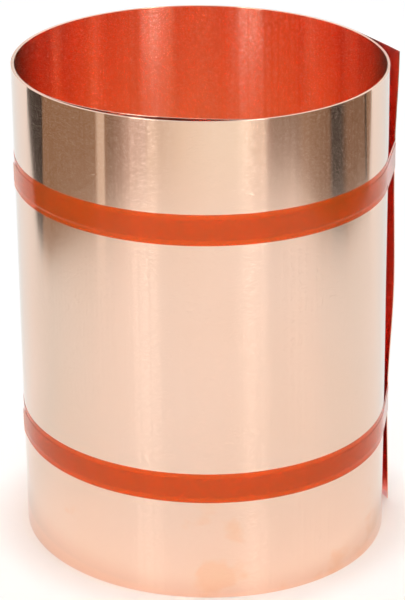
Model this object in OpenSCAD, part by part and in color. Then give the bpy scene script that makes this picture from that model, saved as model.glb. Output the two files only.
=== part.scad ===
// Roll of copper sheet standing on end, held shut by two strips of orange tape.
// One long sheet is wound clockwise (seen from above) into an open, slightly oval roll.
// Its inner end bows off the pack, and its outer end springs off the roll as far as
// the tapes let it. Each tape is one strip, wound about one and a half times.
//
// Everything is placed by two numbers. "dir" is the direction, in degrees from +X,
// in which the roll's surface faces. "turned" is how far a place on the sheet lies
// back along the winding from the line where the outer end leaves the roll.

/* [Sheet] */
// Width of the copper sheet, which is the height of the roll
sheet_w = 355.6; // [300:0.1:420]
// Thickness of the copper sheet
sheet_t = 0.55; // [0.4:0.01:0.7]
// Air left between one lap and the next
lap_gap = 0.08; // [0.05:0.01:0.15]
// Whole turns and part turn of the pack between the two free ends, in degrees
pack_turn = 1260; // [900:180:1620]

/* [Roll] */
// Half of the long way across the roll
roll_long = 138.9; // [130:0.1:150]
// Half of the short way across the roll
roll_short = 132.2; // [125:0.1:145]
// Direction of the long way across
long_dir = 121.7; // [100:0.1:140]

/* [Outer end] */
// Direction in which the sheet faces where it leaves the roll
leave_dir = 30; // [24:3:36]
// How much further round the free edge is
outer_turn = 22; // [18:1:24]
// How far round from the leaving line the sheet flexes
outer_flex_turn = 9; // [6:1:12]
// Stand-off of the free edge at the top of the roll
lift_top = 9.5; // [7:0.1:12]
// Stand-off of the free edge under the upper tape
lift_upper_tape = 7.4; // [5:0.1:9]
// Stand-off of the free edge between the tapes
lift_between = 9.0; // [6:0.1:11]
// Stand-off of the free edge under the lower tape
lift_lower_tape = 5.4; // [4:0.1:8]
// Stand-off of the free edge at the foot of the roll
lift_foot = 7.2; // [5:0.1:10]

/* [Inner end] */
// How far round the inner end bows off the pack
inner_turn = 72; // [60:3:84]
// How far round from there the sheet flexes
inner_flex_turn = 6; // [6:3:12]
// Widest gap between the inner end and the pack
inner_bow = 5.2; // [2:0.1:8]
// Gap at the tip of the inner end
inner_tip_gap = 0.25; // [0.2:0.05:1]

/* [Tape] */
// Width of the tape
tape_w = 18.5; // [12:0.1:25]
// Thickness of the tape
tape_t = 0.15; // [0.1:0.01:0.25]
// How far the second lap lies below the first
tape_drift = 3.7; // [1:0.1:6]
// Height of the upper tape's lower edge
upper_tape_z = 268; // [240:0.5:280]
// Height of the lower tape's lower edge
lower_tape_z = 75.2; // [40:0.5:100]
// Direction of the cut end's fold line
peel_dir = -165; // [-168:3:-150]
// Length of the cut end, from the fold line to the tips of its teeth
cut_end_len = 15; // [10:1:25]
// Teeth left by the cutter, across the tape's width
teeth = 7; // [5:1:9]
// Depth of the teeth
tooth_depth = 1.3; // [0.8:0.1:2]

/* [Hidden] */

// Angle between neighbouring points of every curve
step = 3;
// Gap left across each line where the sheet or the tape flexes
flex_gap = 0.3;
// Air under a tape, and between two laps of it
tape_air = 0.06;
// Air under the cut end at its fold line
cut_end_air = 0.3;
// Angle between a bridge's touching line and the next point of the tape on the roll
touch_gap = 0.5;
// Halvings that find the touching line
tries = 40;
// Rows of points up the sheet's outer end, and across a tape on it
rows = 24;
tape_rows = 4;
lap_pitch = sheet_t + lap_gap;
edge_dir = leave_dir - outer_turn;
outer_flex_dir = leave_dir - outer_flex_turn;
copper = [0.85, 0.55, 0.42];
tape_colour = [0.86, 0.33, 0.15];

// ---- The roll's section ----

// Unit vector facing a direction
function facing(dir) = [cos(dir), sin(dir)];

// Unit vector along the surface, clockwise seen from above
function along(dir) = [sin(dir), -cos(dir)];

// Point of the oval whose surface faces dir, moved out by off
function roll_point(dir, off) =
    let (c = roll_long * cos(dir - long_dir), s = roll_short * sin(dir - long_dir),
         r = norm([c, s]), x = roll_long * c / r, y = roll_short * s / r)
    [x * cos(long_dir) - y * sin(long_dir), x * sin(long_dir) + y * cos(long_dir)]
    + off * facing(dir);

// Offset of the sheet's outer face, which creeps inward along the winding
function lap_off(turned) = -lap_pitch * turned / 360;

// Eases from 0 to 1
function ease(x) = let (t = max(0, min(1, x))) t * t * (3 - 2 * t);

// ---- The two free ends ----

// Stand-off of the outer free edge at height z
function edge_lift(z) =
    let (low = lower_tape_z + tape_w / 2, high = upper_tape_z + tape_w / 2, mid = (low + high) / 2)
    z < low ? lift_foot + (lift_lower_tape - lift_foot) * ease(z / low)
    : z < mid ? lift_lower_tape + (lift_between - lift_lower_tape) * ease((z - low) / (mid - low))
    : z < high ? lift_between + (lift_upper_tape - lift_between) * ease((z - mid) / (high - mid))
    : lift_upper_tape + (lift_top - lift_upper_tape) * ease((z - high) / (sheet_w - high));

// Stand-off of the outer end where the surface faces dir
function outer_lift(dir, z) = edge_lift(z) * pow(max(0, leave_dir - dir) / outer_turn, 2);

// Outer face of the outer end, moved out by off
function outer_point(dir, z, off) =
    roll_point(dir, lap_off(dir - leave_dir) + outer_lift(dir, z) + off);

// Inward bow of the inner end, as a sprung strip whose tip rests on the pack.
// The curve u * u * (1 - u) is 4 / 27 at its highest.
function inner_bow_at(turned) =
    let (u = max(0, turned - pack_turn) / inner_turn)
    inner_bow * u * u * (1 - u) * 27 / 4 + inner_tip_gap * u;

// Face of the sheet between the leaving line and the inner tip
function sheet_point(turned, depth) =
    roll_point(leave_dir + turned, lap_off(turned) - inner_bow_at(turned) - depth);

// ---- Solids ----

// Closed solid between two grids of points, both listed counter-clockwise and upward
module skin(outer, inner) {
    n = len(outer);
    m = len(outer[0]);
    points = concat([for (row = outer) each row], [for (row = inner) each row]);
    function a(i, j) = i * m + j;
    function b(i, j) = n * m + i * m + j;
    function quad(p, q, r, s) = [[p, q, r], [p, r, s]];
    faces = concat(
        [for (i = [0 : n - 2], j = [0 : m - 2])
            each quad(a(i, j), a(i, j + 1), a(i + 1, j + 1), a(i + 1, j))],
        [for (i = [0 : n - 2], j = [0 : m - 2])
            each quad(b(i, j), b(i + 1, j), b(i + 1, j + 1), b(i, j + 1))],
        [for (i = [0 : n - 2]) each quad(a(i, 0), a(i + 1, 0), b(i + 1, 0), b(i, 0))],
        [for (i = [0 : n - 2]) each quad(a(i, m - 1), b(i, m - 1), b(i + 1, m - 1), a(i + 1, m - 1))],
        [for (j = [0 : m - 2]) each quad(a(0, j), b(0, j), b(0, j + 1), a(0, j + 1))],
        [for (j = [0 : m - 2]) each quad(a(n - 1, j), a(n - 1, j + 1), b(n - 1, j + 1), b(n - 1, j))]);
    polyhedron(points, faces);
}

// Moves the roll so that the origin is the middle of its footprint
module placed() {
    x_right = outer_point(edge_dir, sheet_w, 0)[0];
    x_left = roll_point(180, lap_off(180 - leave_dir) + tape_t + tape_air)[0];
    translate([-(x_right + x_left) / 2, 0, 0]) children();
}

// Angles from one to another, by way of every whole step between them, so that
// curves that lie on each other share their corners
function fan(from, to) =
    concat([from], [for (i = [floor(from / step) + 1 : ceil(to / step) - 1]) i * step], [to]);

// ---- Copper ----

// Stretch of the sheet between two places on the winding
module sheet_stretch(from, to) {
    places = fan(from, to);
    back = [for (i = [len(places) - 1 : -1 : 0]) places[i]];
    linear_extrude(sheet_w)
        polygon(concat([for (t = places) sheet_point(t, 0)], [for (t = back) sheet_point(t, sheet_t)]));
}

// Layer that follows the outer end, between two directions, two heights and two offsets
module outer_layer(from, to, low, high, n, inner_off, outer_off) {
    levels = [for (j = [0 : n]) low + (high - low) * j / n];
    function grid(off) = [for (d = fan(from, to))
        [for (z = levels) let (p = outer_point(d, z, off)) [p[0], p[1], z]]];
    skin(grid(outer_off), grid(inner_off));
}

// Stretch of the sheet's outer end between two directions
module outer_stretch(from, to) { outer_layer(from, to, 0, sheet_w, rows, -sheet_t, 0); }

// Angle that the flex gap takes up on the roll
flex_angle = flex_gap / roll_short * 180 / PI;

// The tightly wound pack
module wound_laps() {
    color(copper) placed() sheet_stretch(0, pack_turn + inner_flex_turn);
}

// The inner end, bowed off the pack with its tip resting on it
module inner_flap() {
    color(copper) placed()
        sheet_stretch(pack_turn + inner_flex_turn + flex_angle, pack_turn + inner_turn);
}

// Where the sheet leaves the roll, up to the line where it flexes
module lead_out() {
    color(copper) placed() outer_stretch(outer_flex_dir + flex_angle, leave_dir);
}

// The outer end, from that line to its free edge
module outer_flap() {
    color(copper) placed() outer_stretch(edge_dir, outer_flex_dir);
}

// ---- Tape ----

// Offset of the inner face of a tape layer, counted from 0, above what it lies on
function layer_off(layer) = tape_air + layer * (tape_t + tape_air);

// Direction where a straight line from point p touches the roll, moved out by off,
// found by halving the range from low to high as many times as are left
function touch_dir(p, off, low, high, left) =
    let (mid = (low + high) / 2, gap = (p - roll_point(mid, off)) * facing(mid))
    left == 0 ? mid
    : gap > 0 ? touch_dir(p, off, low, mid, left - 1) : touch_dir(p, off, mid, high, left - 1);

// Outermost face of the roll in a direction, which is one lap further in past the free edge
function surface_off(dir) = dir < edge_dir ? lap_off(dir + 360 - leave_dir) : lap_off(dir - leave_dir);

// Ribbon along stations [point, outward vector, height of its lower edge]
module ribbon(stations) {
    function grid(off) = [for (s = stations) let (p = s[0] + off * s[1])
        [[p[0], p[1], s[2]], [p[0], p[1], s[2] + tape_w]]];
    skin(grid(tape_t), grid(0));
}

// Tape on the sheet's outer end
module tape_on_end(from, to, z, layer) {
    outer_layer(from, to, z, z + tape_w, tape_rows, layer_off(layer), layer_off(layer) + tape_t);
}

// Where a tape layer crosses the free edge
function bridge_edge(z, layer) = outer_point(edge_dir, z + tape_w / 2, layer_off(layer));

// Direction where the straight bridge from the free edge meets the roll
function bridge_dir(z, layer) =
    touch_dir(bridge_edge(z, layer), surface_off(0) + layer_off(layer), -60, edge_dir, tries);

// Stations that cross from the roll to the free edge in a straight line
function bridge_stations(z, layer) =
    let (touch = bridge_dir(z, layer))
    [[roll_point(touch, surface_off(touch) + layer_off(layer)), facing(touch), z],
     [bridge_edge(z, layer) + flex_gap * along(touch), facing(touch), z]];

// Stations on the roll itself; the strip sinks by tape_drift behind the roll
function roll_stations(from, to, z, layer) =
    [for (d = fan(from, to))
        [roll_point(d, surface_off(d) + layer_off(layer)), facing(d), z]];

// Height of the first lap's lower edge behind the roll
function back_z(dir, z) = z + tape_drift * ease((dir - leave_dir) / (180 - leave_dir));

// The strip's first few centimetres, stuck to the outer end
module tape_start(z) {
    color(tape_colour) placed() tape_on_end(edge_dir, outer_flex_dir - step, z + tape_drift, 0);
}

// The first lap: over the bridge, round the front and left, and down a little behind
module tape_first_lap(z) {
    top = z + tape_drift;
    front = concat(roll_stations(-180, bridge_dir(top, 0) - touch_gap, top, 0),
                   bridge_stations(top, 0));
    behind = [for (d = fan(leave_dir, 180))
        [roll_point(d, surface_off(d) + layer_off(0)), facing(d), back_z(d, z)]];
    color(tape_colour) placed() {
        ribbon(front);
        ribbon(behind);
        tape_on_end(outer_flex_dir + flex_angle, leave_dir, z, 0);
    }
}

// The strip's second pass over the outer end, on top of its own start
module tape_tail_pass(z) {
    color(tape_colour) placed() tape_on_end(edge_dir, outer_flex_dir - flex_angle, z, 1);
}

// The second lap, on top of the first, up to the cut end's fold line
module tape_second_lap(z) {
    color(tape_colour) placed()
        ribbon(concat(roll_stations(peel_dir + flex_angle, bridge_dir(z, 1) - touch_gap, z, 1),
                      bridge_stations(z, 1)));
}

// The cut end: a flat flap with the cutter's teeth, standing off as the roll curves away
module tape_cut_end(z) {
    root = roll_point(peel_dir, surface_off(peel_dir) + layer_off(1) + cut_end_air);
    tooth_w = tape_w / teeth;
    tips = [for (i = [0 : 2 * teeth])
        [cut_end_len - (i % 2 == 0 ? tooth_depth : 0), i * tooth_w / 2]];
    color(tape_colour) placed()
        translate([root[0], root[1], z])
            rotate([0, 0, peel_dir - 90]) rotate([90, 0, 0])
                linear_extrude(tape_t) polygon(concat([[0, tape_w], [0, 0]], tips));
}

module upper_tape_start() { tape_start(upper_tape_z); }
module upper_tape_first_lap() { tape_first_lap(upper_tape_z); }
module upper_tape_tail_pass() { tape_tail_pass(upper_tape_z); }
module upper_tape_second_lap() { tape_second_lap(upper_tape_z); }
module upper_tape_cut_end() { tape_cut_end(upper_tape_z); }
module lower_tape_start() { tape_start(lower_tape_z); }
module lower_tape_first_lap() { tape_first_lap(lower_tape_z); }
module lower_tape_tail_pass() { tape_tail_pass(lower_tape_z); }
module lower_tape_second_lap() { tape_second_lap(lower_tape_z); }
module lower_tape_cut_end() { tape_cut_end(lower_tape_z); }

wound_laps();
inner_flap();
lead_out();
outer_flap();
upper_tape_start();
upper_tape_first_lap();
upper_tape_tail_pass();
upper_tape_second_lap();
upper_tape_cut_end();
lower_tape_start();
lower_tape_first_lap();
lower_tape_tail_pass();
lower_tape_second_lap();
lower_tape_cut_end();
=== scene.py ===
import math

import bpy
import numpy as np
from mathutils import Matrix, Vector


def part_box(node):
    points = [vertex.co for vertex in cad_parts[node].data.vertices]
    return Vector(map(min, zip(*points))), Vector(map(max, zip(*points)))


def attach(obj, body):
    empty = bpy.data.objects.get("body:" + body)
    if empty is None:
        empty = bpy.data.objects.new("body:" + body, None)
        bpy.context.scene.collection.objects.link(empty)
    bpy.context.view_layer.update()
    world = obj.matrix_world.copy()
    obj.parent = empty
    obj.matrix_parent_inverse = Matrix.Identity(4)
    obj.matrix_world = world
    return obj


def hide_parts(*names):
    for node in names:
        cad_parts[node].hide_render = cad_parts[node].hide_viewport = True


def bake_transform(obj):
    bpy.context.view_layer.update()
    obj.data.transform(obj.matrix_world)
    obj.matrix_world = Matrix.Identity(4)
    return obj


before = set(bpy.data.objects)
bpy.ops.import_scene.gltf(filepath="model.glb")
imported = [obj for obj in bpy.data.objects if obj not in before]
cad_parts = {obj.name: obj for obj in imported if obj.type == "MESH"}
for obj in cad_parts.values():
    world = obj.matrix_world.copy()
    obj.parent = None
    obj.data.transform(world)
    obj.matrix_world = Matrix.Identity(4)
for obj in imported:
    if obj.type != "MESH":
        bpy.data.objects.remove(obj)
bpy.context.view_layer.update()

# A roll of copper sheet, held shut by two strips of orange tape.
#
# The sheet and the tapes lie on the same surface as the CAD solids do. A place on the sheet is
# given by "turned", how far in degrees it lies back along the winding from the line where the
# outer end leaves the roll, and by its height z. Lengths are in metres.

# ---- Driving dimensions, the same as the CAD model's ----

SHEET_T, LAP_GAP = 0.00055, 0.00008
LAP_PITCH = SHEET_T + LAP_GAP
SHEET_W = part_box("wound_laps")[1].z
# The roll's half sizes, and the direction of the long one
ROLL_LONG, ROLL_SHORT, LONG_DIR = 0.1389, 0.1322, math.radians(121.7)
# Direction in degrees in which the sheet faces where it leaves the roll
LEAVE_DIR = 30
# Degrees that the outer end, the pack of laps and the inner end take up, and how far along each
# of the two ends flexes
OUTER_TURN, OUTER_FLEX = 22, 9
PACK_TURN, INNER_TURN, INNER_FLEX = 1260, 72, 6
INNER_BOW, INNER_TIP_GAP = 0.0052, 0.00025

# TAPE_AIR is the air under each layer of tape, and TAPE_DRIFT how far the second lap lies below
# the first
TAPE_W, TAPE_T, TAPE_AIR, TAPE_DRIFT = 0.0185, 0.00015, 0.00006, 0.0037
TAPE_Z = {band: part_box(band + "_tape_second_lap")[0].z for band in ("upper", "lower")}
# Direction of each cut end's fold line, and the same as a place on the winding
PEEL_DIR = -165
PEEL_TURN = 360 + PEEL_DIR - LEAVE_DIR
CUT_END_LEN, TEETH, TOOTH_DEPTH = 0.015, 7, 0.0013

# Stand-off of the outer free edge: height and distance
LIFTS = [
    (0, 0.0072),
    (TAPE_Z["lower"] + TAPE_W / 2, 0.0054),
    ((TAPE_Z["lower"] + TAPE_Z["upper"] + TAPE_W) / 2, 0.0090),
    (TAPE_Z["upper"] + TAPE_W / 2, 0.0074),
    (SHEET_W, 0.0095),
]

# ---- Details that only the meshes have ----

# Unevenness of the sheet: its size, and for each wave the number round the roll, its shift in
# radians for a metre of height, its start and its relative size
RIPPLE = 0.00005
RIPPLE_WAVES = ((3, 9, 0, 1), (5, -14, 1, 1), (8, 21, 2, 0.6))
# Rounding of the edges, and the points that make it
SHEET_ROUND, TAPE_ROUND, ROUND_POINTS = 0.00012, 0.00004, 4
# Rows of faces up the sheet, and across a tape, four to a tooth
SHEET_ROWS, TAPE_ROWS = 24, 4 * TEETH
# Degrees between stations along the sheet and the tapes, and shares of a bridge between its own
STEP, FINE_STEP, BRIDGE_STEP = 1, 0.5, 0.05
# Degrees to each side of a flexing line over which the outer and the inner end bend
OUTER_BEND, INNER_BEND = 3, 5
# How far below the first lap's edge the second has sunk to the sheet, and the height that it takes
SINK_END, SINK_RUN = 0.0004, 0.0009
# Degrees past the flexing line over which a tape's tail climbs on to its own start
CLIMB_START, CLIMB_RUN = 2, 1.5
# Degrees over which the first lap sinks to the height of the second
DRIFT_TURN = 150
# Share of the way across a bridge where it starts to follow the outer end
BRIDGE_BEND = 0.6
# Place after which a bridge can touch the roll, and the halvings that find where it does
TOUCH_FROM, TRIES = 270.0, 40
# A tape's cut end, in degrees from its fold line: where its piece begins, where it starts to curl,
# and how far to each side it bends. CURL is the layers of tape that it rises by per degree squared
FOLD_START, CURL_START, FOLD_BEND = 5, 2, 1.5
CURL = 0.055


# ---- The wound surface ----


def ease(x):
    """Eases from 0 to 1."""
    t = np.clip(x, 0, 1)
    return t * t * (3 - 2 * t)


def facing(turned):
    """Outward direction at a place on the winding, as x and y."""
    a = np.radians(LEAVE_DIR + turned)
    return np.cos(a), np.sin(a)


def roll_point(turned, off):
    """Point of the oval section that faces the same way as the place, moved out by off."""
    a = np.radians(LEAVE_DIR + turned) - LONG_DIR
    c, s = ROLL_LONG * np.cos(a), ROLL_SHORT * np.sin(a)
    r = np.hypot(c, s)
    x, y = ROLL_LONG * c / r, ROLL_SHORT * s / r
    nx, ny = facing(turned)
    cl, sl = math.cos(LONG_DIR), math.sin(LONG_DIR)
    return x * cl - y * sl + off * nx + AXIS_X, x * sl + y * cl + off * ny


def edge_lift(z):
    """Stand-off of the outer free edge at height z."""
    lift = LIFTS[0][1] + 0 * z
    for (z0, a), (z1, b) in zip(LIFTS, LIFTS[1:]):
        lift = lift + (b - a) * ease((z - z0) / (z1 - z0))
    return lift


def ripple(turned, z):
    """Slight unevenness of the rolled sheet, the same in every lap."""
    a = np.radians(turned)
    waves = [size * np.cos(n * a + shift * z + start) for n, shift, start, size in RIPPLE_WAVES]
    return RIPPLE * sum(waves)


def sheet_offset(turned, z):
    """How far the outer face lies outside the oval. 27/4 makes u * u * (1 - u) peak at 1."""
    outer = edge_lift(z) * (np.maximum(0, -turned) / OUTER_TURN) ** 2
    u = np.maximum(0, turned - PACK_TURN) / INNER_TURN
    inner = 27 / 4 * INNER_BOW * u * u * (1 - u) + INNER_TIP_GAP * u
    return outer - inner - LAP_PITCH * turned / 360 + ripple(turned, z)


def sheet_surface(turned, z, depth):
    """Point of the sheet at a depth below its outer face, or above it if depth is negative."""
    x, y = roll_point(turned, sheet_offset(turned, z) - depth)
    return np.stack([x, y, z + 0 * x], -1)


AXIS_X = 0.0
RIGHT = sheet_surface(np.array(-OUTER_TURN), np.array(SHEET_W), 0)[0]
LEFT = sheet_surface(np.array(180 - LEAVE_DIR), np.array(0.0), -TAPE_T - TAPE_AIR)[0]
AXIS_X = -(RIGHT + LEFT) / 2


# ---- Meshes ----


def loop_template(height, thick, rows, bevel):
    """Closed section of a strip: (height, depth, outward share, upward share of the normal)."""
    loop = []

    def corner(z, depth, start):
        for a in np.linspace(start, start + math.pi / 2, ROUND_POINTS):
            out, up = math.cos(a), math.sin(a)
            loop.append((z + bevel * up, depth - bevel * out, out, up))

    faces = [bevel + (height - 2 * bevel) * i / rows for i in range(1, rows)]
    corner(bevel, bevel, -math.pi / 2)
    loop += [(z, 0, 1, 0) for z in faces]
    corner(height - bevel, bevel, 0)
    corner(height - bevel, thick - bevel, math.pi / 2)
    loop += [(z, thick, -1, 0) for z in reversed(faces)]
    corner(bevel, thick - bevel, math.pi)
    return np.array(loop)


def strip(name, places, surface, template, trim=None):
    """Closed strip through the places. surface(place, height, depth) gives its points; places run
    counter-clockwise. trim(heights), if given, moves the first station at each height."""
    n, m = len(places), len(template)
    heights, depths = template[:, 0], template[:, 1]
    grid = np.repeat(np.asarray(places, float)[:, None], m, 1)
    if trim is not None:
        grid[0] = trim(heights)
    z = np.repeat(heights[None, :], n, 0)
    depth = np.repeat(depths[None, :], n, 0)
    points = surface(grid, z, depth)
    # The normals come from the surface a little to each side of a point, and above and below it
    step = 0.02 * (places[-1] - places[0]) / (n - 1)
    rise = 0.0002
    run = surface(grid + step, z, depth) - surface(grid - step, z, depth)
    up = surface(grid, z + rise, depth) - surface(grid, z - rise, depth)
    out = np.cross(run, up)
    out /= np.linalg.norm(out, axis=-1, keepdims=True)
    up /= np.linalg.norm(up, axis=-1, keepdims=True)
    run /= np.linalg.norm(run, axis=-1, keepdims=True)
    normals = out * template[None, :, 2:3] + up * template[None, :, 3:4]

    faces, corners = [], []
    for i in range(n - 1):
        for k in range(m):
            q = [(i, k), (i + 1, k), (i + 1, (k + 1) % m), (i, (k + 1) % m)]
            faces.append([a * m + b for a, b in q])
            corners += [normals[a, b] for a, b in q]
    for i, sign in ((0, -1), (n - 1, 1)):
        for k in range(m // 2 - 1):
            q = [(i, k), (i, m - 1 - k), (i, m - 2 - k), (i, k + 1)][::sign]
            faces.append([a * m + b for a, b in q])
            corners += [sign * run[a, b] for a, b in q]

    mesh = bpy.data.meshes.new(name)
    mesh.from_pydata(points.reshape(-1, 3).tolist(), [], faces)
    mesh.polygons.foreach_set("use_smooth", [True] * len(faces))
    mesh.normals_split_custom_set([c.tolist() for c in corners])
    mesh.update()
    piece = bpy.data.objects.new(name, mesh)
    bpy.context.scene.collection.objects.link(piece)
    return piece


def span(a, b, step):
    """Places from a to b, about a step apart."""
    return np.linspace(a, b, max(2, int(round(abs(b - a) / step)) + 1))


# ---- Node helpers ----


def new_material(name, shader_type="ShaderNodeBsdfPrincipled"):
    """A material with one shader: the material, its node tree and the shader."""
    material = bpy.data.materials.new(name)
    material.use_nodes = True
    tree = material.node_tree
    tree.nodes.clear()
    shader = tree.nodes.new(shader_type)
    output = tree.nodes.new("ShaderNodeOutputMaterial")
    tree.links.new(shader.outputs[0], output.inputs[0])
    return material, tree, shader


def noise(tree, scale, detail=4, rough=0.6):
    """Noise over the object's own coordinates, stretched by a scale along x, y and z."""
    where = tree.nodes.new("ShaderNodeTexCoord")
    stretch = tree.nodes.new("ShaderNodeMapping")
    stretch.inputs["Scale"].default_value = scale
    texture = tree.nodes.new("ShaderNodeTexNoise")
    texture.inputs["Scale"].default_value = 1
    texture.inputs["Detail"].default_value = detail
    texture.inputs["Roughness"].default_value = rough
    tree.links.new(where.outputs["Object"], stretch.inputs[0])
    tree.links.new(stretch.outputs[0], texture.inputs["Vector"])
    return texture.outputs["Fac"]


def above_floor(tree):
    """Height above the floor."""
    where = tree.nodes.new("ShaderNodeTexCoord")
    parts = tree.nodes.new("ShaderNodeSeparateXYZ")
    tree.links.new(where.outputs["Object"], parts.inputs[0])
    return parts.outputs["Z"]


def remap(tree, value, low, high, to_low=0, to_high=1):
    """The value, with low to high stretched to to_low to to_high, and no further."""
    node = tree.nodes.new("ShaderNodeMapRange")
    ends = {"From Min": low, "From Max": high, "To Min": to_low, "To Max": to_high}
    for key, number in ends.items():
        node.inputs[key].default_value = number
    tree.links.new(value, node.inputs["Value"])
    return node.outputs[0]


def combine(tree, operation, a, b):
    """Result of a maths operation. Each of a and b is a number or another node's output."""
    node = tree.nodes.new("ShaderNodeMath")
    node.operation = operation
    for socket, value in zip(node.inputs, (a, b)):
        if isinstance(value, (int, float)):
            socket.default_value = value
        else:
            tree.links.new(value, socket)
    return node.outputs[0]


def mix_colour(tree, share, a, b):
    """Colour from a to b. Each of them is a colour or another node's output."""
    node = tree.nodes.new("ShaderNodeMix")
    node.data_type = "RGBA"
    tree.links.new(share, node.inputs["Factor"])
    sockets = [socket for socket in node.inputs if socket.type == "RGBA"]
    for socket, value in zip(sockets, (a, b)):
        if isinstance(value, tuple):
            socket.default_value = (*value, 1)
        else:
            tree.links.new(value, socket)
    return next(output for output in node.outputs if output.type == "RGBA")


def bump(tree, height, strength, distance, shader):
    """Gives the shader a bump from a height that runs from 0 to 1."""
    node = tree.nodes.new("ShaderNodeBump")
    node.inputs["Strength"].default_value = strength
    node.inputs["Distance"].default_value = distance
    tree.links.new(height, node.inputs["Height"])
    tree.links.new(node.outputs[0], shader.inputs["Normal"])


# ---- Materials ----


def copper_material(name, bright, tarnished, blot_colour):
    """Rolled copper: fine rolling lines and finer scratches run round the roll, with faint warm
    tarnish all over and a few orange blots near the foot."""
    material, tree, shader = new_material(name)
    lines = noise(tree, scale=(5, 5, 1600), detail=3, rough=0.6)
    scratches = noise(tree, scale=(400, 400, 25000), detail=1, rough=0.5)
    clouds = noise(tree, scale=(9, 9, 7), detail=4, rough=0.55)
    blots = noise(tree, scale=(24, 24, 30), detail=3, rough=0.55)

    tint = mix_colour(tree, remap(tree, clouds, 0.42, 0.72), bright, tarnished)
    blot_share = remap(tree, blots, 0.58, 0.66, to_high=0.75)
    near_foot = remap(tree, above_floor(tree), 0.055, 0.095, to_low=1, to_high=0)
    tint = mix_colour(tree, combine(tree, "MULTIPLY", blot_share, near_foot), tint, blot_colour)
    tree.links.new(tint, shader.inputs["Base Color"])

    wear = combine(tree, "ADD", scratches, combine(tree, "MULTIPLY", lines, 0.012))
    rough = remap(tree, wear, 0.64, 0.69, to_low=0.10, to_high=0.34)
    tree.links.new(rough, shader.inputs["Roughness"])
    bump(tree, lines, strength=0.05, distance=0.00002, shader=shader)
    shader.inputs["Metallic"].default_value = 1
    shader.inputs["Specular Tint"].default_value = (0.90, 0.95, 0.97, 1)
    shader.inputs["Anisotropic"].default_value = 1
    shader.inputs["Anisotropic Rotation"].default_value = 0.25
    tangent = tree.nodes.new("ShaderNodeTangent")
    tangent.direction_type = "RADIAL"
    tangent.axis = "Z"
    tree.links.new(tangent.outputs[0], shader.inputs["Tangent"])
    return material


def tape_material():
    """Milky orange film: part of the light comes back from the copper behind it."""
    material, tree, shader = new_material("orange_tape")
    wrinkles = noise(tree, scale=(60, 60, 500), detail=3, rough=0.5)
    deep, pale = (0.845, 0.238, 0.030), (0.855, 0.252, 0.032)
    tint = mix_colour(tree, remap(tree, wrinkles, 0.3, 0.7), deep, pale)
    tree.links.new(tint, shader.inputs["Base Color"])
    bump(tree, wrinkles, strength=0.08, distance=0.00005, shader=shader)
    shader.inputs["Roughness"].default_value = 0.12
    shader.inputs["IOR"].default_value = 1.3
    shader.inputs["Transmission Weight"].default_value = 0.85
    return material


# The finish of each material slot in the record
FINISH = {
    "copper": copper_material(
        "rolled_copper",
        bright=(0.955, 0.660, 0.514),
        tarnished=(0.950, 0.643, 0.488),
        blot_colour=(0.93, 0.580, 0.390),
    ),
    "orange_tape": tape_material(),
}
# The inward face of the outer end, in a darker, pinker copper colour that paints the shade in the gap
# between the outer end and the roll
GAP_SHADE_COPPER = copper_material(
    "copper_with_painted_gap_shade",
    bright=(0.87, 0.67, 0.72),
    tarnished=(0.85, 0.65, 0.69),
    blot_colour=(0.84, 0.58, 0.55),
)
PIECES = []


def finish_piece(piece, slot, nodes, body=None, flex=None):
    """Gives a piece its material and its place in the frame. flex is (body, body, start, end), but
    only whether it is given is used: then the piece keeps its place in the world.
    """
    piece.data.materials.append(FINISH[slot])
    PIECES.append(piece)
    if nodes:
        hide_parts(*nodes)
    if flex:
        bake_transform(piece)
    else:
        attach(piece, body)
    return piece


# ---- The copper sheet ----

SHEET_LOOP = loop_template(SHEET_W, SHEET_T, SHEET_ROWS, SHEET_ROUND)


def bend_on_sheet(start, end):
    """The two points, half way up the sheet and inside it, between which it bends."""
    middle = np.array(SHEET_W / 2)
    return [sheet_surface(np.array(float(t)), middle, SHEET_T / 2).tolist() for t in (start, end)]


OUTER_FLEX_RUN = bend_on_sheet(-OUTER_FLEX + OUTER_BEND, -OUTER_FLEX - OUTER_BEND)


def build_wound_sheet():
    places = span(0, PACK_TURN, STEP)
    piece = strip("wound_sheet", places, sheet_surface, SHEET_LOOP)
    finish_piece(piece, "copper", ["wound_laps"], body="roll")


def build_inner_end():
    places = span(PACK_TURN, PACK_TURN + INNER_TURN, STEP)
    piece = strip("inner_sheet_end", places, sheet_surface, SHEET_LOOP)
    flexing = PACK_TURN + INNER_FLEX
    bend = bend_on_sheet(flexing - INNER_BEND, flexing + INNER_BEND)
    finish_piece(piece, "copper", ["inner_flap"], flex=("roll", "inner_end", *bend))


def build_outer_end():
    places = span(-OUTER_TURN, 0, FINE_STEP)
    piece = strip("outer_sheet_end", places, sheet_surface, SHEET_LOOP)
    nodes = ["lead_out", "outer_flap"]
    finish_piece(piece, "copper", nodes, flex=("roll", "outer_end", *OUTER_FLEX_RUN))
    # Faces that turn towards the roll's axis look into the gap and take the copper with painted shade
    piece.data.materials.append(GAP_SHADE_COPPER)
    for face in piece.data.polygons:
        outward = face.center - Vector((AXIS_X, 0, face.center.z))
        if face.normal.dot(outward) < 0:
            face.material_index = 1


build_wound_sheet()
build_inner_end()
build_outer_end()


# ---- The tapes ----

TAPE_LOOP = loop_template(TAPE_W, TAPE_T, TAPE_ROWS, TAPE_ROUND)


def tape_surface(base_z, layer):
    """Surface of a tape on the sheet's outer face. base_z(turned) is the height of its lower edge,
    and layer(turned, height) the number of layers of tape that it lies on."""

    def surface(turned, height, depth):
        off = TAPE_AIR + layer(turned, height) * (TAPE_T + TAPE_AIR) + TAPE_T
        return sheet_surface(turned, base_z(turned) + height, depth - off)

    return surface


def flat_layer(turned, height):
    """No tape beneath."""
    return 0 * height


def over_first_lap(turned, height):
    """1 where the first lap lies beneath, and 0 on the strip below it."""
    return ease((height - TAPE_DRIFT + SINK_END) / SINK_RUN)


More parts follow.
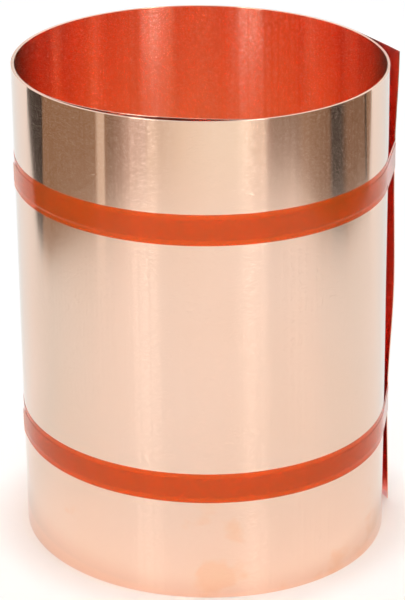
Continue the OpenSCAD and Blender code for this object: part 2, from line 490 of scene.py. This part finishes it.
def touch_turn(edge, off):
    """Place where a straight line from the free edge touches the roll, by bisection."""
    low, high = TOUCH_FROM, 360.0 - OUTER_TURN
    for _ in range(TRIES):
        mid = (low + high) / 2
        x, y = roll_point(np.array(mid), -LAP_PITCH * mid / 360 + off)
        nx, ny = facing(mid)
        gap = (edge[0] - x) * nx + (edge[1] - y) * ny
        low, high = (low, mid) if gap > 0 else (mid, high)
    return mid


def build_bridge(name, low, layer):
    """Tape that crosses in a straight line from the roll to the sheet's free edge, on a layer of
    tape or on none. Gives the place where it leaves the roll."""
    off = TAPE_AIR + layer * (TAPE_T + TAPE_AIR) + TAPE_T
    middle = np.array(low + TAPE_W / 2)
    edge = sheet_surface(np.array(float(-OUTER_TURN)), middle, -off)
    touch = touch_turn(edge, off)
    foot = sheet_surface(np.array(touch), middle, -off)

    def surface(u, height, depth):
        a = sheet_surface(touch + 0 * u, low + height, depth - off)
        b = sheet_surface(-OUTER_TURN + 0 * u, low + height, depth - off)
        return a + (b - a) * u[..., None]

    piece = strip(name, span(0, 1, BRIDGE_STEP), surface, TAPE_LOOP)
    bend = foot + (edge - foot) * BRIDGE_BEND
    flex = ("roll", "outer_end", bend.tolist(), edge.tolist())
    finish_piece(piece, "orange_tape", [], flex=flex)
    return touch


def build_tape(band):
    """One tape, piece by piece in the order in which it was wound on."""
    low = TAPE_Z[band]
    high = low + TAPE_DRIFT
    name = band + "_tape_"
    on_outer_end = ("roll", "outer_end", *OUTER_FLEX_RUN)

    def build(part, places, base_z, layer, trim=None, **ride):
        piece = strip(name + part, places, tape_surface(base_z, layer), TAPE_LOOP, trim=trim)
        finish_piece(piece, "orange_tape", [name + part], **ride)

    def at_low(turned):
        return low + 0 * turned

    def at_high(turned):
        return high + 0 * turned

    def sinking(turned):
        return low + TAPE_DRIFT * ease(turned / DRIFT_TURN)

    def over_start(turned, height):
        """Layers under the tail: 1 where the tape's own start lies beneath, and 0 elsewhere."""
        climb = ease((-turned - OUTER_FLEX - CLIMB_START) / CLIMB_RUN)
        return climb * over_first_lap(turned, height)

    def curling(turned, height):
        """The same under the cut end, which also curls off the tape below it."""
        away = np.maximum(0, PEEL_TURN + CURL_START - turned)
        return over_first_lap(turned, height) + CURL * away**2

    tips = PEEL_TURN - math.degrees(CUT_END_LEN / ROLL_SHORT)

    def toothed(heights):
        """The cut end's edge: teeth with their tips at the end of the tape."""
        wave = np.abs(((heights / TAPE_W * TEETH) % 1) * 2 - 1)
        return tips + wave * math.degrees(TOOTH_DEPTH / ROLL_SHORT)

    start = span(-OUTER_TURN, -OUTER_FLEX - OUTER_BEND, STEP)
    build("start", start, at_high, flat_layer, body="outer_end")
    touch = build_bridge(name + "first_bridge", high, 0)
    build("first_lap", span(0, touch, STEP), sinking, flat_layer, body="roll")
    build("tail_pass", span(-OUTER_TURN, 0, FINE_STEP), at_low, over_start, flex=on_outer_end)
    touch = build_bridge(name + "second_bridge", low, 1)
    fold = PEEL_TURN + FOLD_START
    build("second_lap", span(fold, touch, STEP), at_low, over_first_lap, body="roll")
    crease = [
        tape_surface(at_low, flat_layer)(np.array(float(turned)), np.array(TAPE_W / 2), 0).tolist()
        for turned in (PEEL_TURN + FOLD_BEND, PEEL_TURN - FOLD_BEND)
    ]
    peeling = ("roll", band + "_tape_end", *crease)
    build("cut_end", span(tips, fold, FINE_STEP), at_low, curling, trim=toothed, flex=peeling)


for band in ("upper", "lower"):
    build_tape(band)


# ---- Stage ----

# Light that the floor adds: warm inside the roll, where copper walls light it, and white outside
INSIDE_GLOW, OUTSIDE_GLOW = (0.09, 0.022, 0.002), (0.36, 0.36, 0.36)
# Distances from the roll's axis between which the one turns into the other; the white glow's fade just
# outside the roll paints a contact shadow round its foot
GLOW_RUN = (ROLL_SHORT - 0.006, ROLL_SHORT + 0.035)
FLOOR_HALF = 40


def build_floor():
    """A plain pale floor under the roll. It glows white outside the roll, with painted warm light
    inside it and a painted contact shadow where the white glow fades near the foot.
    """
    material, tree, shader = new_material("studio_floor")
    shader.inputs["Base Color"].default_value = (0.88, 0.88, 0.88, 1)
    shader.inputs["Roughness"].default_value = 0.9
    shader.inputs["Specular IOR Level"].default_value = 0.1
    shader.inputs["Emission Strength"].default_value = 1
    where = tree.nodes.new("ShaderNodeTexCoord")
    length = tree.nodes.new("ShaderNodeVectorMath")
    length.operation = "LENGTH"
    tree.links.new(where.outputs["Object"], length.inputs[0])
    outside = remap(tree, length.outputs["Value"], *GLOW_RUN)
    glow = mix_colour(tree, outside, INSIDE_GLOW, OUTSIDE_GLOW)
    tree.links.new(glow, shader.inputs["Emission Color"])
    mesh = bpy.data.meshes.new("studio_floor")
    corners = [(x * FLOOR_HALF, y * FLOOR_HALF, 0) for x, y in ((-1, -1), (1, -1), (1, 1), (-1, 1))]
    mesh.from_pydata(corners, [], [(0, 1, 2, 3)])
    mesh.materials.append(material)
    floor = bpy.data.objects.new("studio_floor", mesh)
    floor.location.x = AXIS_X
    bpy.context.scene.collection.objects.link(floor)


# Painted reflections of the studio, which only the copper mirrors. Directions are in degrees round the
# roll's axis, 0 towards the camera and left negative, and distances are from that axis. The white
# table's reach: direction and distance
TABLE = (
    (-125, 0.72), (-101, 0.67), (-70, 0.78), (-49, 0.89), (-35, 0.98),
    (50, 0.98), (70, 0.81), (90, 0.76), (119, 0.84),
)
# Painted shade on the table, seen only in what the copper mirrors. How much dimmer the table looks:
# direction, loss near the roll and loss further out
TABLE_DIM = (
    (-178, 0, 0), (-150, 0.06, 0.08), (-122, 0.08, 0.10), (-97, 0.22, 0.20), (-70, 0.15, 0.13),
    (-48, 0.11, 0.02), (-25, 0.11, 0.06), (0, 0.08, 0.02), (38, 0.11, 0.07), (52, 0.10, 0.03),
    (70, 0.14, 0.12), (97, 0.15, 0.165), (122, 0.10, 0.10), (150, 0.10, 0.13), (178, 0, 0),
)
# Where the two losses are felt: distance, share of the near one and share of the other
DIM_RINGS = ((0.14, 0.4, 0), (0.27, 1, 0), (0.58, 0, 1), (1.2, 0, 1))
# How much of a loss each of red, green and blue takes
DIM_TINT = np.array((1, 0.6, 0.5))

PAPER, CREAM = (0.93, 0.95, 0.87), (0.84, 0.80, 0.70)
SAND, STONE, ASH = (0.66, 0.59, 0.50), (0.47, 0.37, 0.32), (0.33, 0.24, 0.19)
WOOD, DEEP_WOOD, NIGHT = (0.28, 0.19, 0.12), (0.21, 0.14, 0.09), (0.045, 0.04, 0.035)

# Painted reflection of what stands round the table: direction and colour
ROOM = (
    (-125, NIGHT), (-108.5, NIGHT), (-107, WOOD), (-66.5, WOOD), (-64, SAND), (-60.3, SAND),
    (-59.8, WOOD), (-57, DEEP_WOOD), (-49, ASH), (-44, STONE), (-36, STONE), (-33.5, SAND),
    (-27, SAND), (-14, CREAM), (2, PAPER), (20, PAPER), (26, SAND), (32, SAND), (35, ASH),
    (39, DEEP_WOOD), (54, DEEP_WOOD), (58, WOOD), (76, DEEP_WOOD), (79, NIGHT), (86, NIGHT),
    (92, DEEP_WOOD), (110, DEEP_WOOD), (110.7, NIGHT), (112, NIGHT), (112.7, WOOD), (119, WOOD),
)
# Degrees between the columns of the room and of the filter
ROOM_STEP, DIM_STEP = 0.25, 4
# Directions past which the room's near edge is drawn together, and its rings: distance, and share
# of the spread past those directions that is kept
ROOM_CORNERS = (-108.5, 112.7)
ROOM_RINGS = ((0, 0.3), (1.1, 1), (6, 1))
# Heights of the filter and of the room above the floor
DIM_Z, ROOM_Z = 0.002, 0.003


def mirrored_sheet(name, height, rows, shader_type):
    """Sheet above the floor that shows only in what the copper mirrors, as a painted reflection. Each
    row of points runs outward, and a point is its direction, its distance from the roll's axis and its
    colour."""
    m = len(rows[0])
    verts, colours = [], []
    for direction, radius, colour in (point for row in rows for point in row):
        a = math.radians(direction)
        verts.append((AXIS_X + radius * math.sin(a), -radius * math.cos(a), height))
        colours += [*colour, 1]
    faces = [
        (i * m + k, i * m + k + 1, (i + 1) * m + k + 1, (i + 1) * m + k)
        for i in range(len(rows) - 1)
        for k in range(m - 1)
    ]
    mesh = bpy.data.meshes.new(name)
    mesh.from_pydata(verts, [], faces)
    mesh.color_attributes.new("tone", "FLOAT_COLOR", "POINT").data.foreach_set("color", colours)
    material, tree, shader = new_material(name, shader_type)
    tone = tree.nodes.new("ShaderNodeAttribute")
    tone.attribute_name = "tone"
    tree.links.new(tone.outputs["Color"], shader.inputs["Color"])
    mesh.materials.append(material)
    sheet = bpy.data.objects.new(name, mesh)
    bpy.context.scene.collection.objects.link(sheet)
    for ray in ("camera", "diffuse", "shadow", "volume_scatter"):
        setattr(sheet, "visible_" + ray, False)


def build_table_dim():
    """A filter over the white table, seen only in what the copper mirrors, which paints shade on it
    towards the sides and near the roll.
    """
    stops, near, far = zip(*TABLE_DIM)
    rows = []
    for direction in range(stops[0], stops[-1] + 1, DIM_STEP):
        losses = np.interp(direction, stops, near), np.interp(direction, stops, far)
        rows.append([
            (direction, radius, 1 - np.dot(losses, shares) * DIM_TINT) for radius, *shares in DIM_RINGS
        ])
    mirrored_sheet("studio_table_painted_shade", DIM_Z, rows, "ShaderNodeBsdfTransparent")


def build_room():
    """Painted reflection of the dim room beyond the white table: a glowing sheet that only the copper
    mirrors.
    """
    directions = np.arange(ROOM[0][0], ROOM[-1][0] + ROOM_STEP, ROOM_STEP)
    stops, colours = zip(*ROOM)
    tones = np.stack([np.interp(directions, stops, channel) for channel in zip(*colours)], -1)
    edges = np.interp(directions, *zip(*TABLE))
    rows = []
    for direction, tone, edge in zip(directions, tones.tolist(), edges):
        corner = min(max(direction, ROOM_CORNERS[0]), ROOM_CORNERS[1])
        spread = direction - corner
        rows.append([
            (corner + spread * share, max(radius, edge), tone) for radius, share in ROOM_RINGS
        ])
    mirrored_sheet("studio_room_painted_reflection", ROOM_Z, rows, "ShaderNodeEmission")


build_floor()
build_table_dim()
build_room()


# ---- Light ----

# Directions of the two soft boxes, as above, and what they share
SOFT_BOXES = {"soft_box_left": -38.5, "soft_box_right": 26}
BOX_ELEVATION, BOX_DISTANCE = math.radians(21), 2.2
BOX_W, BOX_H, BOX_POWER = 0.56, 0.9, 26
# The world's brightness in front of the roll and behind it, and where along Y each is reached
WORLD_FRONT, WORLD_BACK, WORLD_RUN = 0.42, 1.05, 0.6


def build_soft_box(name, direction, lit):
    """Soft box that faces the roll and lights only what is in the collection lit."""
    data = bpy.data.lights.new(name, "AREA")
    data.shape = "RECTANGLE"
    data.size, data.size_y, data.energy = BOX_W, BOX_H, BOX_POWER
    light = bpy.data.objects.new(name, data)
    a, e = math.radians(direction), BOX_ELEVATION
    away = Vector((math.sin(a) * math.cos(e), -math.cos(a) * math.cos(e), math.sin(e)))
    light.location = Vector((AXIS_X, 0, SHEET_W / 2)) + away * BOX_DISTANCE
    light.rotation_mode = "QUATERNION"
    light.rotation_quaternion = away.to_track_quat("Z", "Y")
    bpy.context.scene.collection.objects.link(light)
    light.light_linking.receiver_collection = lit


def build_soft_boxes():
    lit = bpy.data.collections.new("lit_by_soft_boxes")
    for piece in PIECES:
        lit.objects.link(piece)
    for name, direction in SOFT_BOXES.items():
        build_soft_box(name, direction, lit)


def build_world():
    """White light from all round, stronger from behind the roll."""
    world = bpy.data.worlds.new("studio")
    world.use_nodes = True
    tree = world.node_tree
    backdrop = tree.nodes["Background"]
    backdrop.inputs["Color"].default_value = (1, 1, 1, 1)
    where = tree.nodes.new("ShaderNodeTexCoord")
    towards = tree.nodes.new("ShaderNodeSeparateXYZ")
    tree.links.new(where.outputs["Generated"], towards.inputs[0])
    light = remap(tree, towards.outputs["Y"], -WORLD_RUN, WORLD_RUN, WORLD_FRONT, WORLD_BACK)
    tree.links.new(light, backdrop.inputs["Strength"])
    bpy.context.scene.world = world


def allow_long_paths():
    """Light goes to and fro many times inside the roll, and gets its colour there."""
    cycles = bpy.context.scene.cycles
    cycles.blur_glossy = 0
    cycles.max_bounces = 48
    cycles.glossy_bounces = 24
    cycles.transmission_bounces = 16
    cycles.transparent_max_bounces = 16


build_soft_boxes()
build_world()
allow_long_paths()
bpy.context.scene.view_settings.view_transform = "Standard"

# ---- Camera ----

CAMERA_BACK, CAMERA_UP = 1.7491, 0.9047
CAMERA_PITCH, CAMERA_ROLL = math.radians(22.735), -0.0109
CAMERA_LENS, SENSOR_W = 155.3, 36


def build_camera():
    data = bpy.data.cameras.new("camera")
    data.sensor_width = SENSOR_W
    data.lens = CAMERA_LENS
    camera = bpy.data.objects.new("camera", data)
    camera.location = (AXIS_X, -CAMERA_BACK, CAMERA_UP)
    tilt = Matrix.Rotation(math.pi / 2 - CAMERA_PITCH, 3, "X")
    camera.rotation_mode = "XYZ"
    camera.rotation_euler = (tilt @ Matrix.Rotation(CAMERA_ROLL, 3, "Z")).to_euler()
    bpy.context.scene.collection.objects.link(camera)
    bpy.context.scene.camera = camera


build_camera()
